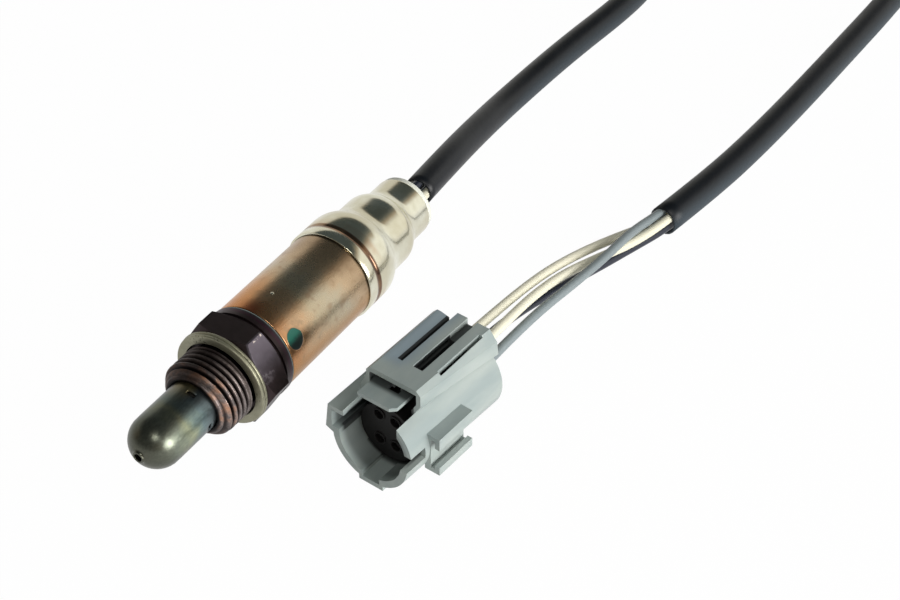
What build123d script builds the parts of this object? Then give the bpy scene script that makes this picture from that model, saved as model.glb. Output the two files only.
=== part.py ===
from build123d import *
import os
from math import cos, pi, radians, sin, tan

# Heated exhaust oxygen sensor with its four-wire lead and plug.
# Millimetres. The sensor's axis is Y, its nose points to -Y, +Z is up. The origin is on the axis, in the
# plane where the sealing gasket meets the hexagon. Sensor and plug lie on one flat surface.

# ---- fits ----
slip_fit = 0.05            # radial gap between pieces that are pushed together
loose_fit = 0.15           # radial gap where a tube passes through a wall

# ---- nose: two perforated tubes around the ceramic ----
nose_radius = 6.0
nose_wall = 0.5
nose_tip = -28.2
nose_tip_hole = 1.7
rim_height = 0.3
rim_width = 0.6
louvre_place = -12.6
louvre_width = 2.0
louvre_height = 1.0
louvre_count = 4
louvre_first_angle = 73
inner_tube_radius = 4.6
inner_tube_wall = 0.4
inner_tube_tip = -24.5
inner_hole = 1.2
inner_hole_place = -17.0
inner_hole_count = 6
flange_radius = 7.15

# ---- shell: thread, hexagon, collar and the spigot under the sleeve ----
shell_front = -10.65
lead_front_radius = 7.0
thread_radius = 9.0
thread_start = -8.2
thread_end = -2.2
undercut_radius = 8.2
thread_lead_radius = 2.2
hex_across_flats = 22.0
hex_height = 6.5
hex_chamfer_drop = 1.0
groove_radius = 10.4
groove_width = 0.8
collar_radius = 11.05
collar_width = 2.6
collar_rounding = 0.7
spigot_length = 5.1
chamber_front = -1.0
chamber_lip = 0.9
chamber_lip_radius = 6.0

# ---- sealing gasket ----
gasket_radius = 11.4
gasket_thickness = 1.6
gasket_rounding = 0.5

# ---- ceramic element and the pieces that hold it ----
element_tip = -20.0
element_tip_radius = 3.0
element_root_radius = 3.8
element_bore_radius = 2.0
element_bore_tip = -17.5
element_collar_radius = 6.6
element_collar_height = 4.4
element_collar_cone = 1.4
element_neck_radius = 4.4
element_length = 39.0
washer_thickness = 0.6
washer_bore = 4.1
powder_height = 3.2
bush_height = 4.6
spring_thickness = 0.7
heater_radius = 1.5
heater_tip = -16.8
heater_length = 44.0
contact_wall = 0.3
inner_contact_length = 10.0
outer_contact_length = 3.6

# ---- sleeve and rear cap ----
sleeve_radius = 10.85
sleeve_wall = 0.5
sleeve_end = 44.0
cap_wall = 0.45
cap_front = 38.3
cap_ring_end = 47.6
cap_middle_start = 51.2
cap_middle_end = 58.6
cap_small_start = 61.3
cap_end = 68.0
cap_middle_radius = 9.3
cap_small_radius = 7.45
cap_mouth_radius = 6.55
cap_groove_place = 41.5
cap_groove_width = 0.5
cap_groove_depth = 0.15
shoulder_rounding = 1.6
neck_rounding = 1.3
rear_rounding = 0.85

# ---- contact holder, terminals and grommet ----
holder_front = 23.5
holder_end = 42.0
holder_passage_radius = 1.6
terminal_wall = 0.3
terminal_barrel_length = 8.0
terminal_blade_width = 1.6
terminal_blade_thickness = 0.5
terminal_blade_length = 24.0
grommet_front = 60.4
grommet_proud = 0.6

# ---- wires and sheath ----
wire_diameter = 2.15
wire_circle = 2.2
wire_circle_in_sheath = 1.9
wire_start = 57.6
sheath_diameter = 7.2
sheath_wall = 0.3

# ---- plug: its own frame has X to the right, Y to the rear, Z up, from the centre of the mouth ----
plug_place_x = 37.1
plug_place_y = -0.7
plug_yaw = 5.2
mouth_radius = 9.6
tail_radius = 10.28
plug_length = 31.3
shroud_bore = 7.95
shroud_depth = 24.0
key_width = 6.2
key_wall = 0.9
key_drop = 10.3
key_floor = 1.2
key_length = 20.0
top_height = 13.9
top_left = -6.6
top_right = 7.3
top_bevel = 1.1
top_plate = 1.3
top_wall = 1.1
top_knee = 10.1
top_knee_in = 1.2
top_knee_drop = 2.0
left_knee = 11.4
left_foot_out = 1.7
left_foot = 7.6
bridge_front = 7.5
bridge_depth = 5.4
shoulder_out = 8.7
shoulder_height = 11.3
shoulder_foot = 8.2
latch_width = 9.3
latch_left = -4.9
latch_top = 11.1
latch_thick = 0.9
latch_front = 2.6
latch_chamfer = 1.2
latch_notch_width = 3.0
latch_notch_place = 7.1
latch_notch_length = 1.7
latch_room_end = 25.2
mouth_gap_right = 5.9
right_lip_setback = 1.5
rail_slot_right = -1.5
rail_slot_width = 0.9
rail_slot_depth = 4.5
rail_bevel = 2.2
rail_bevel_drop = 0.5
left_rail_end = 29.6
window_left = 1.1
window_width = 2.5
window_floor = 1.7
hair_slot_left = 6.15
hair_slot_width = 0.5
hair_slot_depth = 2.0
hair_slot_start = 15.1
hair_slot_end = 28.3
block_out = 11.5
block_low = -0.9
block_high = 6.4
block_wall = 1.65
block_length = 14.5
block_lip = 3.2
block_lip_thick = 1.1
block_bevel = 0.8
key_slot_low = -1.3
key_slot_height = 2.8
key_slot_length = 5.9
clip_front = 7.3
clip_length = 11.0
clip_out = 12.2
clip_root = 8.4
clip_top = 3.9
clip_low = -6.1
clip_bar = 1.1
clip_lip = 1.2
clip_upper_lip = 3.0
clip_lower_lip = 2.1
clip_web = 9.95
insert_radius = 7.1
insert_front = 5.9
insert_end = 24.0
insert_flange = 3.0
cavity_across = 2.1
cavity_low = -2.64
cavity_high = 4.1
cavity_mouth_radius = 1.15
cavity_mouth_depth = 1.0
socket_radius = 1.25
socket_wall = 0.3
socket_end = 23.6
socket_clear = 0.2
socket_web = 6.0
front_seal_place = 17.0
front_seal_width = 3.4
rear_web = 2.0
rear_hole_radius = 1.3
rear_seal_radius = 7.5
rear_seal_thick = 4.0
wire_end = 22.4

# ---- worked out from the sizes above ----
floor_level = -gasket_radius
inner_sleeve_radius = sleeve_radius - sleeve_wall
cap_ring_radius = sleeve_radius + slip_fit + cap_wall
groove_end = hex_height + groove_width
collar_end = groove_end + collar_width
spigot_end = collar_end + spigot_length
chamber_radius = flange_radius + slip_fit
spigot_radius = inner_sleeve_radius - slip_fit
nose_flange_end = chamber_front + nose_wall
inner_flange_end = nose_flange_end + inner_tube_wall
washer_end = inner_flange_end + washer_thickness
element_collar_end = washer_end + element_collar_height
powder_end = element_collar_end + powder_height
bush_end = powder_end + bush_height
spring_end = bush_end + spring_thickness
element_end = element_tip + element_length
wire_radius = wire_diameter / 2
wire_hole = wire_radius + slip_fit
sheath_radius = sheath_diameter / 2
sheath_bore = sheath_diameter - 2 * sheath_wall
sheath_height = floor_level + sheath_radius
plug_height = floor_level + key_drop
plug_frame = Location((plug_place_x, plug_place_y, plug_height), (0, 0, -plug_yaw))
cavities = {
    "upper_left": (-cavity_across, cavity_high),
    "upper_right": (cavity_across, cavity_high),
    "lower_right": (cavity_across, cavity_low),
    "lower_left": (-cavity_across, cavity_low),
}


# ---- small helpers ----
def turned(*outline):
    """A solid of revolution about the sensor's axis, from (radius, place) corners."""
    return revolve(make_face(Polyline(*outline, close=True)), Axis.Y)


def tube(inner, outer, start, end):
    """A straight tube on the sensor's axis."""
    return turned((inner, start), (outer, start), (outer, end), (inner, end))


def rod(radius, start, end, x=0, z=0):
    """A round bar along Y, at a distance from the axis."""
    return Pos(x, 0, z) * tube(0, radius, start, end)


def block(left, right, front, rear, low, high):
    """A box from its six sides."""
    middle = Pos((left + right) / 2, (front + rear) / 2, (low + high) / 2)
    return middle * Box(right - left, rear - front, high - low)


def prism(outline, front, rear):
    """A bar along Y, from its (across, height) corners."""
    face = make_face(Polyline(*[(x, front, z) for x, z in outline], close=True))
    return extrude(face, rear - front, dir=(0, 1, 0))


def around(count, first_angle=0):
    """Equal turns about the sensor's axis."""
    return [Rot(0, -first_angle - 360 * i / count, 0) for i in range(count)]


def in_plug(piece):
    """Takes a piece from the plug's frame to the sensor's."""
    return plug_frame * piece


# ---- nose ----
def thimble_face(radius, wall, tip, end, flange_start):
    """Half section of a round-nosed tube with a flange at its mouth."""
    centre = tip + radius
    outer = [
        CenterArc((0, centre), radius, -90, 90),
        Polyline((radius, centre), (radius, flange_start), (flange_radius, flange_start)),
        Polyline((flange_radius, flange_start), (flange_radius, end), (radius - wall, end)),
        Line((radius - wall, end), (radius - wall, centre)),
        CenterArc((0, centre), radius - wall, 0, -90),
        Line((0, tip + wall), (0, tip)),
    ]
    return make_face(outer)


def outer_protection_tube():
    body = revolve(thimble_face(nose_radius, nose_wall, nose_tip, nose_flange_end, chamber_front), Axis.Y)
    rim = tube(nose_tip_hole / 2, nose_tip_hole / 2 + rim_width, nose_tip - rim_height, nose_tip + nose_wall)
    body = body + rim - rod(nose_tip_hole / 2, nose_tip - rim_height - 1, nose_tip + nose_radius)
    slot = block(
        nose_radius - 2 * nose_wall, nose_radius + 1,
        louvre_place - louvre_height / 2, louvre_place + louvre_height / 2,
        -louvre_width / 2, louvre_width / 2,
    )
    for turn in around(louvre_count, louvre_first_angle):
        body -= turn * slot
    return body


def inner_protection_tube():
    body = revolve(
        thimble_face(inner_tube_radius, inner_tube_wall, inner_tube_tip, inner_flange_end, nose_flange_end),
        Axis.Y,
    )
    hole = Pos(inner_tube_radius, inner_hole_place, 0) * Rot(0, 90, 0) * Cylinder(inner_hole / 2, 2)
    for turn in around(inner_hole_count):
        body -= turn * hole
    return body - rod(inner_hole / 2, inner_tube_tip - 1, inner_tube_tip + inner_tube_radius)


# ---- shell ----
def sensor_shell():
    lead = [
        RadiusArc((lead_front_radius, shell_front), (thread_radius, thread_start), -2 * thread_lead_radius),
        Polyline(
            (thread_radius, thread_start), (thread_radius, thread_end), (undercut_radius, thread_end),
            (undercut_radius, 0), (0, 0), (0, shell_front), (lead_front_radius, shell_front),
        ),
    ]
    threaded = revolve(make_face(lead), Axis.Y)
    return threaded + hexagon() + rear_spigot() - shell_bore()


def hexagon():
    flat = hex_across_flats / 2
    corner = flat / cos(radians(30))
    bar = extrude(Plane.XZ * RegularPolygon(corner, 6), -hex_height)
    chamfers = turned(
        (0, 0), (flat, 0), (corner, hex_chamfer_drop), (corner, hex_height - hex_chamfer_drop),
        (flat, hex_height), (0, hex_height),
    )
    return bar & chamfers


def rear_spigot():
    body = rod(groove_radius, hex_height, groove_end)
    collar = rod(collar_radius, groove_end, collar_end)
    rear_rim = collar.edges().filter_by(GeomType.CIRCLE).sort_by(Axis.Y)[-1]
    return body + fillet(rear_rim, collar_rounding) + rod(spigot_radius, collar_end, spigot_end)


def shell_bore():
    nose_way = rod(nose_radius + slip_fit, shell_front - 1, chamber_front)
    chamber = rod(chamber_radius, chamber_front, spring_end)
    mouth = rod(chamber_lip_radius, spring_end, spring_end + chamber_lip)
    relief = rod(chamber_radius + loose_fit, spring_end + chamber_lip, spigot_end + 1)
    return nose_way + chamber + mouth + relief


def sealing_gasket():
    ring = tube(thread_radius + loose_fit, gasket_radius, -gasket_thickness, 0)
    rims = ring.edges().filter_by(GeomType.CIRCLE).group_by(SortBy.RADIUS)[-1]
    return fillet(rims, gasket_rounding)


# ---- ceramic element and what clamps it ----
def zirconia_element():
    centre = element_tip + element_tip_radius
    outline = [
        CenterArc((0, centre), element_tip_radius, -90, 90),
        Polyline(
            (element_tip_radius, centre), (element_root_radius, inner_flange_end),
            (element_root_radius, washer_end), (element_collar_radius, washer_end),
            (element_collar_radius, element_collar_end - element_collar_cone),
            (element_neck_radius, element_collar_end), (element_neck_radius, element_end),
            (element_bore_radius, element_end), (element_bore_radius, element_bore_tip + element_bore_radius),
        ),
        CenterArc((0, element_bore_tip + element_bore_radius), element_bore_radius, 0, -90),
        Line((0, element_bore_tip), (0, element_tip)),
    ]
    return revolve(make_face(outline), Axis.Y)


def seat_washer():
    return tube(washer_bore, flange_radius, inner_flange_end, washer_end)


def powder_seal():
    cone_start = element_collar_end - element_collar_cone
    return turned(
        (element_neck_radius, element_collar_end), (element_collar_radius, cone_start),
        (flange_radius, cone_start), (flange_radius, powder_end), (element_neck_radius, powder_end),
    )


def support_bush():
    return tube(element_neck_radius + slip_fit, flange_radius, powder_end, bush_end)


def disc_spring():
    return tube(element_neck_radius + loose_fit, flange_radius, bush_end, spring_end)


def heater_rod():
    body = rod(heater_radius, heater_tip, heater_tip + heater_length)
    ends = body.edges().filter_by(GeomType.CIRCLE)
    return chamfer(ends, heater_radius / 4)


def inner_contact():
    outer = element_bore_radius - slip_fit
    clip = tube(outer - contact_wall, outer, element_end - inner_contact_length, element_end)
    slit = block(-contact_wall, contact_wall, 0, element_end + 1, 0, outer + 1)
    return clip - slit


def outer_contact():
    inner = element_neck_radius + slip_fit
    clip = tube(inner, inner + contact_wall, element_end - outer_contact_length, element_end)
    rim = element_end + contact_wall
    disc = tube(element_bore_radius + contact_wall, inner + contact_wall, element_end, rim)
    slit = block(-contact_wall, contact_wall, 0, element_end, 0, inner + 1)
    return clip + disc - slit


# ---- sleeve, cap and rear pieces ----
def protective_sleeve():
    return tube(inner_sleeve_radius, sleeve_radius, collar_end, sleeve_end)


def cap_line(inset):
    """Half outline of the drawn cap, moved in by its wall."""
    ring, middle, small = cap_ring_radius - inset, cap_middle_radius - inset, cap_small_radius - inset
    corners = [
        (ring, cap_front), (ring, cap_ring_end - inset / 2), (middle, cap_middle_start - inset / 2),
        (middle, cap_middle_end - inset / 2), (small, cap_small_start - inset / 2),
        (small, cap_end - inset), (cap_mouth_radius, cap_end - inset),
    ]
    inward = [shoulder_rounding - inset, neck_rounding + inset]
    return FilletPolyline(*corners, radius=inward * 2 + [rear_rounding - inset])


def rear_cap():
    outside, inside = cap_line(0), cap_line(cap_wall)
    ends = [Line(outside @ 0, inside @ 0), Line(outside @ 1, inside @ 1)]
    cap = revolve(make_face([outside, inside] + ends), Axis.Y)
    half = cap_groove_width / 2
    front, rear = cap_groove_place - half, cap_groove_place + half
    return cap - tube(cap_ring_radius - cap_groove_depth, cap_ring_radius + 1, front, rear)


def contact_holder():
    body = tube(heater_radius + slip_fit, inner_sleeve_radius - slip_fit, holder_front, holder_end)
    for x, z in wire_places(wire_circle + holder_passage_radius):
        body -= rod(holder_passage_radius, holder_front - 1, holder_end + 1, x, z)
    return body


def wire_places(circle):
    """The four (across, height) places of the wires around the sensor's axis, from the right, turning up."""
    return [(circle * cos(radians(90 * i)), circle * sin(radians(90 * i))) for i in range(4)]


def crimp_terminals():
    """One terminal a wire: a barrel round its end and a blade bent outward into the holder."""
    inner, outer = wire_hole, wire_hole + terminal_wall
    barrel_end = wire_start + terminal_barrel_length / 4
    barrel_start = barrel_end - terminal_barrel_length
    blade_out = holder_passage_radius
    half_width, half_thick = terminal_blade_width / 2, terminal_blade_thickness / 2
    pieces = []
    for i in range(4):
        barrel = rod(outer, barrel_start, barrel_end, wire_circle) - rod(inner, wire_start, barrel_end + 1, wire_circle)
        blade = block(
            wire_circle + blade_out - half_thick, wire_circle + blade_out + half_thick,
            barrel_start - terminal_blade_length + half_thick, barrel_start + half_thick,
            -half_width, half_width,
        )
        step = block(
            wire_circle, wire_circle + blade_out + half_thick,
            barrel_start - half_thick, barrel_start + half_thick, -half_width / 2, half_width / 2,
        )
        pieces.append(Rot(0, -90 * i, 0) * (barrel + blade + step))
    return pieces


def grommet():
    outer = cap_small_radius - cap_wall - slip_fit
    body = rod(outer, grommet_front, cap_end - cap_wall - rear_rounding)
    body += rod(cap_mouth_radius - slip_fit, grommet_front, cap_end + grommet_proud)
    for x, z in wire_places(wire_circle):
        body -= rod(wire_hole, grommet_front - 1, cap_end + grommet_proud + 1, x, z)
    return body


# ---- plug housing ----
def connector_housing():
    body = plug_body() + top_block() + left_block() + key_rail() + clip_channel()
    body -= rod(shroud_bore, -1, shroud_depth)
    body -= mouth_openings()
    body -= latch_room()
    body += latch_tongue()
    body -= top_slots()
    body -= rear_seal_bore()
    for x, z in cavities.values():
        body -= rod(rear_hole_radius, shroud_depth - 1, plug_length + 1, x, z)
    return body


def plug_body():
    """The round body, with the draft of its mould."""
    return turned((0, 0), (mouth_radius, 0), (tail_radius, plug_length), (0, plug_length))


def top_block():
    """The raised block over the latch. At the rear it has a wide shoulder on the right."""
    root = mouth_radius / 2
    foot = top_left - left_foot_out
    left = [
        (foot, root), (foot, left_foot), (top_left, left_knee),
        (top_left, top_height - top_bevel), (top_left + top_bevel, top_height),
    ]
    front = left + [
        (top_right - top_bevel, top_height), (top_right, top_height - top_bevel), (top_right, top_knee),
        (top_right - top_knee_in, top_knee - top_knee_drop), (top_right - 2 * top_knee_in, root),
    ]
    rear = left + [
        (top_right - top_bevel / 2, top_height), (shoulder_out, shoulder_height),
        (shoulder_out + top_bevel / 3, shoulder_foot), (top_right, left_foot),
        (top_right - top_knee_in, root),
    ]
    faces = [
        make_face(Polyline(*[(x, place, z) for x, z in outline], close=True))
        for outline, place in ((front, bridge_front), (rear, plug_length))
    ]
    return loft(faces, ruled=True)


def left_block():
    """The square bulge on the left of the mouth, with a lip that hooks inward over its groove."""
    inner = -block_out + block_wall
    lip_end = inner + block_lip
    outline = [
        (-mouth_radius, block_low), (-block_out, block_low + block_bevel),
        (-block_out + block_bevel, block_high), (lip_end, block_high), (lip_end, 0), (-mouth_radius, 0),
    ]
    hollow = [
        (inner, block_low + block_wall), (inner, block_high - block_lip_thick - block_bevel / 2),
        (inner + block_bevel / 2, block_high - block_lip_thick), (lip_end + 1, block_high - block_lip_thick),
        (lip_end + 1, block_low + block_wall),
    ]
    return prism(outline, 0, block_length) - prism(hollow, -1, block_length - block_wall)


def key_rail():
    """The key along the bottom, which the plug lies on."""
    half = key_width / 2
    return block(-half, half, 0, key_length, -key_drop, -shroud_bore / 2)


def key_groove():
    """The key's own groove, open to the bore and at the front."""
    half = key_width / 2 - key_wall
    return block(-half, half, -1, key_length - key_wall, key_floor - key_drop, 0)


def clip_channel():
    """Two facing L rails on the right, for a mounting clip that slides in from the front."""
    rear = clip_front + clip_length
    web = block(clip_root, clip_web, clip_front, rear, clip_low, clip_top)
    upper = block(clip_root, clip_out, clip_front, rear, clip_top - clip_bar, clip_top)
    upper_lip = block(clip_out - clip_lip, clip_out, clip_front, rear, clip_top - clip_upper_lip, clip_top)
    lower = block(clip_root, clip_out, clip_front, rear, clip_low, clip_low + clip_bar)
    lower_lip = block(clip_out - clip_lip, clip_out, clip_front, rear, clip_low, clip_low + clip_lower_lip)
    return web + upper + upper_lip + lower + lower_lip


def mouth_openings():
    """The mouth's open top, the set back right lip, the slot for the key and the groove along the bottom."""
    left = -block_out + block_wall + block_lip
    top = block(left, mouth_gap_right, -1, bridge_front, 0, top_height + 1)
    slot_top = key_slot_low + key_slot_height
    lip = block(mouth_gap_right, mouth_radius + 1, -1, right_lip_setback, slot_top, top_height)
    slot = block(shroud_bore / 2, mouth_radius + 1, -1, key_slot_length, key_slot_low, slot_top)
    inner = -block_out + block_wall
    left_room = block(
        inner, -shroud_bore / 2, -1, block_length - block_wall,
        block_low + block_wall, block_high - block_lip_thick,
    )
    return top + lip + slot + key_groove() + left_room


def latch_room():
    """The space under the bridge in which the latch bends. Its walls follow the block's."""
    left, right, roof = top_left + top_wall, top_right - top_wall, top_height - top_plate
    root = shroud_bore * cos(radians(50))
    outline = [
        (left, roof), (right, roof), (right, top_knee), (right - top_knee_in, top_knee - top_knee_drop),
        (right - top_knee_in, root), (left - top_wall, root), (left - left_foot_out, left_foot),
        (left, left_foot + left_foot_out),
    ]
    return prism(outline, bridge_front - 1, latch_room_end)


def latch_tongue():
    right = latch_left + latch_width
    low, high = latch_top - latch_thick, latch_top
    outline = [
        (latch_left, latch_front), (right - latch_chamfer, latch_front), (right, latch_front + latch_chamfer),
        (right, latch_room_end + 1), (latch_left, latch_room_end + 1),
    ]
    plate = extrude(make_face(Polyline(*[(x, y, low) for x, y in outline], close=True)), high - low)
    middle = latch_left + latch_width / 2 + latch_notch_width / 4
    wide, stem = latch_notch_width / 2, latch_notch_width / 4
    start = latch_notch_place
    notch = block(middle - wide, middle + wide, start, start + latch_notch_length, low, high)
    tail = block(middle - stem, middle + stem, start, start + 2 * latch_notch_length, low, high)
    return plate - notch - tail


def top_slots():
    """The grooves between the rails behind the bridge."""
    start = bridge_front + bridge_depth
    end = plug_length + 1
    left = rail_slot_right - rail_slot_width
    slots = block(left, rail_slot_right, start, end, top_height - rail_slot_depth, top_height + 1)
    bevel = prism(
        [(left - rail_bevel, top_height), (left, top_height - rail_bevel_drop), (left, top_height)],
        start, end,
    )
    right = window_left + window_width
    window = block(
        window_left, right, start, latch_room_end, top_height - rail_slot_depth, top_height + 1,
    )
    shelf = block(window_left, right, start, end, top_height - window_floor, top_height + 1)
    hair = block(
        hair_slot_left, hair_slot_left + hair_slot_width, hair_slot_start, hair_slot_end,
        top_height - hair_slot_depth, top_height + 1,
    )
    left_end = block(top_left - 1, left, left_rail_end, end, top_height - rail_slot_depth, top_height + 1)
    return slots + bevel + window + shelf + hair + left_end


def rear_seal_bore():
    return rod(rear_seal_radius + slip_fit, shroud_depth + rear_web, plug_length + 1)


# ---- plug insert, sockets and seals ----
def connector_insert():
    body = rod(insert_radius, insert_front, insert_end)
    body += rod(shroud_bore - slip_fit, insert_end - insert_flange, insert_end)
    for x, z in cavities.values():
        body -= rod(cavity_mouth_radius, insert_front - 1, insert_end + 1, x, z)
        body -= rod(socket_radius + socket_clear, insert_front + cavity_mouth_depth, insert_end + 1, x, z)
    return body


def socket_terminal(x, z):
    """A turned socket: open at the front for the pin, open at the rear for the wire."""
    front = insert_front + cavity_mouth_depth + slip_fit
    body = rod(socket_radius, front, socket_end, x, z)
    pin_room = rod(socket_radius - socket_wall, front - 1, wire_end - socket_web, x, z)
    wire_room = rod(wire_hole, wire_end, socket_end + 1, x, z)
    return body - pin_room - wire_room


def interface_seal():
    rear = front_seal_place + front_seal_width
    return tube(insert_radius + slip_fit, shroud_bore - slip_fit, front_seal_place, rear)


def wire_seal():
    start = shroud_depth + rear_web + slip_fit
    body = rod(rear_seal_radius, start, start + rear_seal_thick)
    for x, z in cavities.values():
        body -= rod(wire_hole, start - 1, start + rear_seal_thick + 1, x, z)
    return body


# ---- wires and sheath ----
sheath_route = [
    (0, 71.5, 0), (-0.4, 86, -0.3), (-3.8, 105, -3.9), (-6.9, 126, sheath_height), (-6.2, 155, sheath_height),
    (-5.2, 187, sheath_height), (-18.5, 209, sheath_height), (-24, 229, sheath_height),
    (-20, 248, sheath_height), (-7, 263.5, sheath_height), (11.5, 271, sheath_height),
    (31.5, 269, sheath_height), (48, 257.5, sheath_height), (57.5, 240, sheath_height),
    (57.4, 218, sheath_height), (56.4, 194, sheath_height), (55.2, 170, sheath_height),
    (53.8, 147, sheath_height), (51.6, 125, sheath_height), (49, 104.5, sheath_height),
]

# Each wire: its place round the axis where it leaves the sensor, its clock place in the sheath's mouth,
# the plug cavity that it goes to, and its free points from the sheath's mouth to the plug.
wires = {
    "wire_white_a": {
        "leaves": 180, "clock": 130, "cavity": "upper_left",
        "free": [(44.0, 93, -7.0), (41.1, 81, -4.5), (39.3, 69, -2.0), (38.7, 57, 0.2), (38.5, 45, 1.9)],
    },
    "wire_white_b": {
        "leaves": 0, "clock": 310, "cavity": "upper_right",
        "free": [(48.1, 93, -7.0), (44.4, 81, -5.3), (42.0, 69, -2.7), (41.5, 57, -0.3), (42.0, 45, 1.7)],
    },
    "wire_grey": {
        "leaves": 270, "clock": 40, "cavity": "lower_right",
        "free": [(47.0, 93, -4.4), (46.9, 81, -3.4), (45.7, 69, -3.0), (44.0, 57, -2.8), (42.9, 45, -3.2)],
    },
    "wire_black": {
        "leaves": 90, "clock": 220, "cavity": "lower_left",
        "free": [(47.3, 93, -9.2), (44.3, 81, -8.3), (41.4, 69, -6.8), (39.2, 57, -5.2), (37.8, 45, -3.9)],
    },
}


def arc_radii(points):
    """One radius a corner: each arc takes 0.45 of its shorter run."""
    radii = []
    for before, corner, after in zip(points, points[1:], points[2:]):
        into, out = Vector(*corner) - Vector(*before), Vector(*after) - Vector(*corner)
        half_turn = radians(into.get_angle(out) / 2)
        radii.append(0.45 * min(into.length, out.length) / tan(half_turn))
    return radii


def cord(name, points, diameter, bore=0):
    """A round tube along straight runs joined by tangent arcs."""
    radii = arc_radii(points)
    path = FilletPolyline(*points, radius=radii)
    start = Plane(origin=path @ 0, z_dir=path % 0)
    body = sweep(start * Circle(diameter / 2), path=path)
    if bore:
        body -= sweep(start * Circle(bore / 2), path=path)
    section = pi / 4 * (diameter ** 2 - bore ** 2)
    print(f"{name}: length {path.length:.1f}, volume {body.volume:.1f} of {section * path.length:.1f},"
          f" radii {[round(radius, 1) for radius in radii]}")
    return body


def beside(index, radius, clock):
    """A place beside a point of the sheath's route: clock 0 is above it, 90 to the right of its travel."""
    before = Vector(*sheath_route[max(index - 1, 0)])
    after = Vector(*sheath_route[min(index + 1, len(sheath_route) - 1)])
    travel = (after - before).normalized()
    right = travel.cross(Vector(0, 0, 1)).normalized()
    up = right.cross(travel)
    away = right * sin(radians(clock)) + up * cos(radians(clock))
    return tuple(Vector(*sheath_route[index]) + away * radius)


def plug_point(x, y, z):
    """A place in the plug's frame, given in the sensor's."""
    return tuple((plug_frame * Location((x, y, z))).position)


def wire_points(wire):
    start_angle = radians(wire["leaves"])
    x, z = wire_circle * cos(start_angle), wire_circle * sin(start_angle)
    points = [(x, wire_start, z), (x, sheath_route[0][1] + 0.5, z)]
    last = len(sheath_route) - 1
    leaving_clock = (90 - wire["leaves"]) % 360
    turn = (wire["clock"] - leaving_clock + 180) % 360 - 180
    for index in range(1, last + 1):
        points.append(beside(index, wire_circle_in_sheath, leaving_clock + turn * index / last))
    points += wire["free"]
    across, height = cavities[wire["cavity"]]
    points.append(plug_point(across, plug_length + 2, height))
    points.append(plug_point(across, wire_end, height))
    return points


def make_part():
    """Every piece of the sensor, by its name."""
    pieces = {
        "outer_protection_tube": outer_protection_tube(),
        "inner_protection_tube": inner_protection_tube(),
        "sensor_shell": sensor_shell(),
        "sealing_gasket": sealing_gasket(),
        "zirconia_element": zirconia_element(),
        "seat_washer": seat_washer(),
        "powder_seal": powder_seal(),
        "support_bush": support_bush(),
        "disc_spring": disc_spring(),
        "heater_rod": heater_rod(),
        "inner_contact": inner_contact(),
        "outer_contact": outer_contact(),
        "protective_sleeve": protective_sleeve(),
        "rear_cap": rear_cap(),
        "contact_holder": contact_holder(),
        "grommet": grommet(),
        "cable_sheath": cord("cable_sheath", sheath_route, sheath_diameter, sheath_bore),
        "connector_housing": in_plug(connector_housing()),
        "connector_insert": in_plug(connector_insert()),
        "interface_seal": in_plug(interface_seal()),
        "wire_seal": in_plug(wire_seal()),
    }
    for number, terminal in enumerate(crimp_terminals(), 1):
        pieces[f"crimp_terminal_{number}"] = terminal
    for name, (x, z) in cavities.items():
        pieces[f"socket_{name}"] = in_plug(socket_terminal(x, z))
    for name, wire in wires.items():
        pieces[name] = cord(name, wire_points(wire), wire_diameter)
    return pieces


os.makedirs("parts", exist_ok=True)
for name, piece in make_part().items():
    export_step(piece, f"parts/{name}.step")
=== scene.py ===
from math import cos, pi, radians, sin

import bmesh
import bpy
from mathutils import Matrix, Vector


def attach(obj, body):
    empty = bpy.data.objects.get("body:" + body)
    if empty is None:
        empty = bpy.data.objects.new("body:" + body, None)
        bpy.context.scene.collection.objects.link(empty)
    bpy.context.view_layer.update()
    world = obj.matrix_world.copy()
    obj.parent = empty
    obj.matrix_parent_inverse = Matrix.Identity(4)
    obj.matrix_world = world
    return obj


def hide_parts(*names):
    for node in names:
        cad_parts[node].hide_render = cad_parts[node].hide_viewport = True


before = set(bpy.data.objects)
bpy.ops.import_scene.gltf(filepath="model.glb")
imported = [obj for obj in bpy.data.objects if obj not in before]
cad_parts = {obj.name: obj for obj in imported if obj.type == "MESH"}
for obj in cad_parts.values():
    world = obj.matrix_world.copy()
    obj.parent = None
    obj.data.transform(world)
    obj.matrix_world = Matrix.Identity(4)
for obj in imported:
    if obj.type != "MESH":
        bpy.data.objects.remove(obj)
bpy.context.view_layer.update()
mm = 0.001
print("frame loaded:", len(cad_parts), "nodes")

# camera
camera = dict(place=(0.1950, -0.22091, 0.27203), tilt=49.20, turn=32.21, lens=76.04, sensor=36)
eye = bpy.data.cameras.new("eye")
eye.lens, eye.sensor_width, eye.dof.use_dof = camera["lens"], camera["sensor"], False
eyeObject = bpy.data.objects.new("eye", eye)
eyeObject.location = camera["place"]
eyeObject.rotation_euler = radians(camera["tilt"]), 0, radians(camera["turn"])
bpy.context.collection.objects.link(eyeObject)
bpy.context.scene.camera = eyeObject


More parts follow.
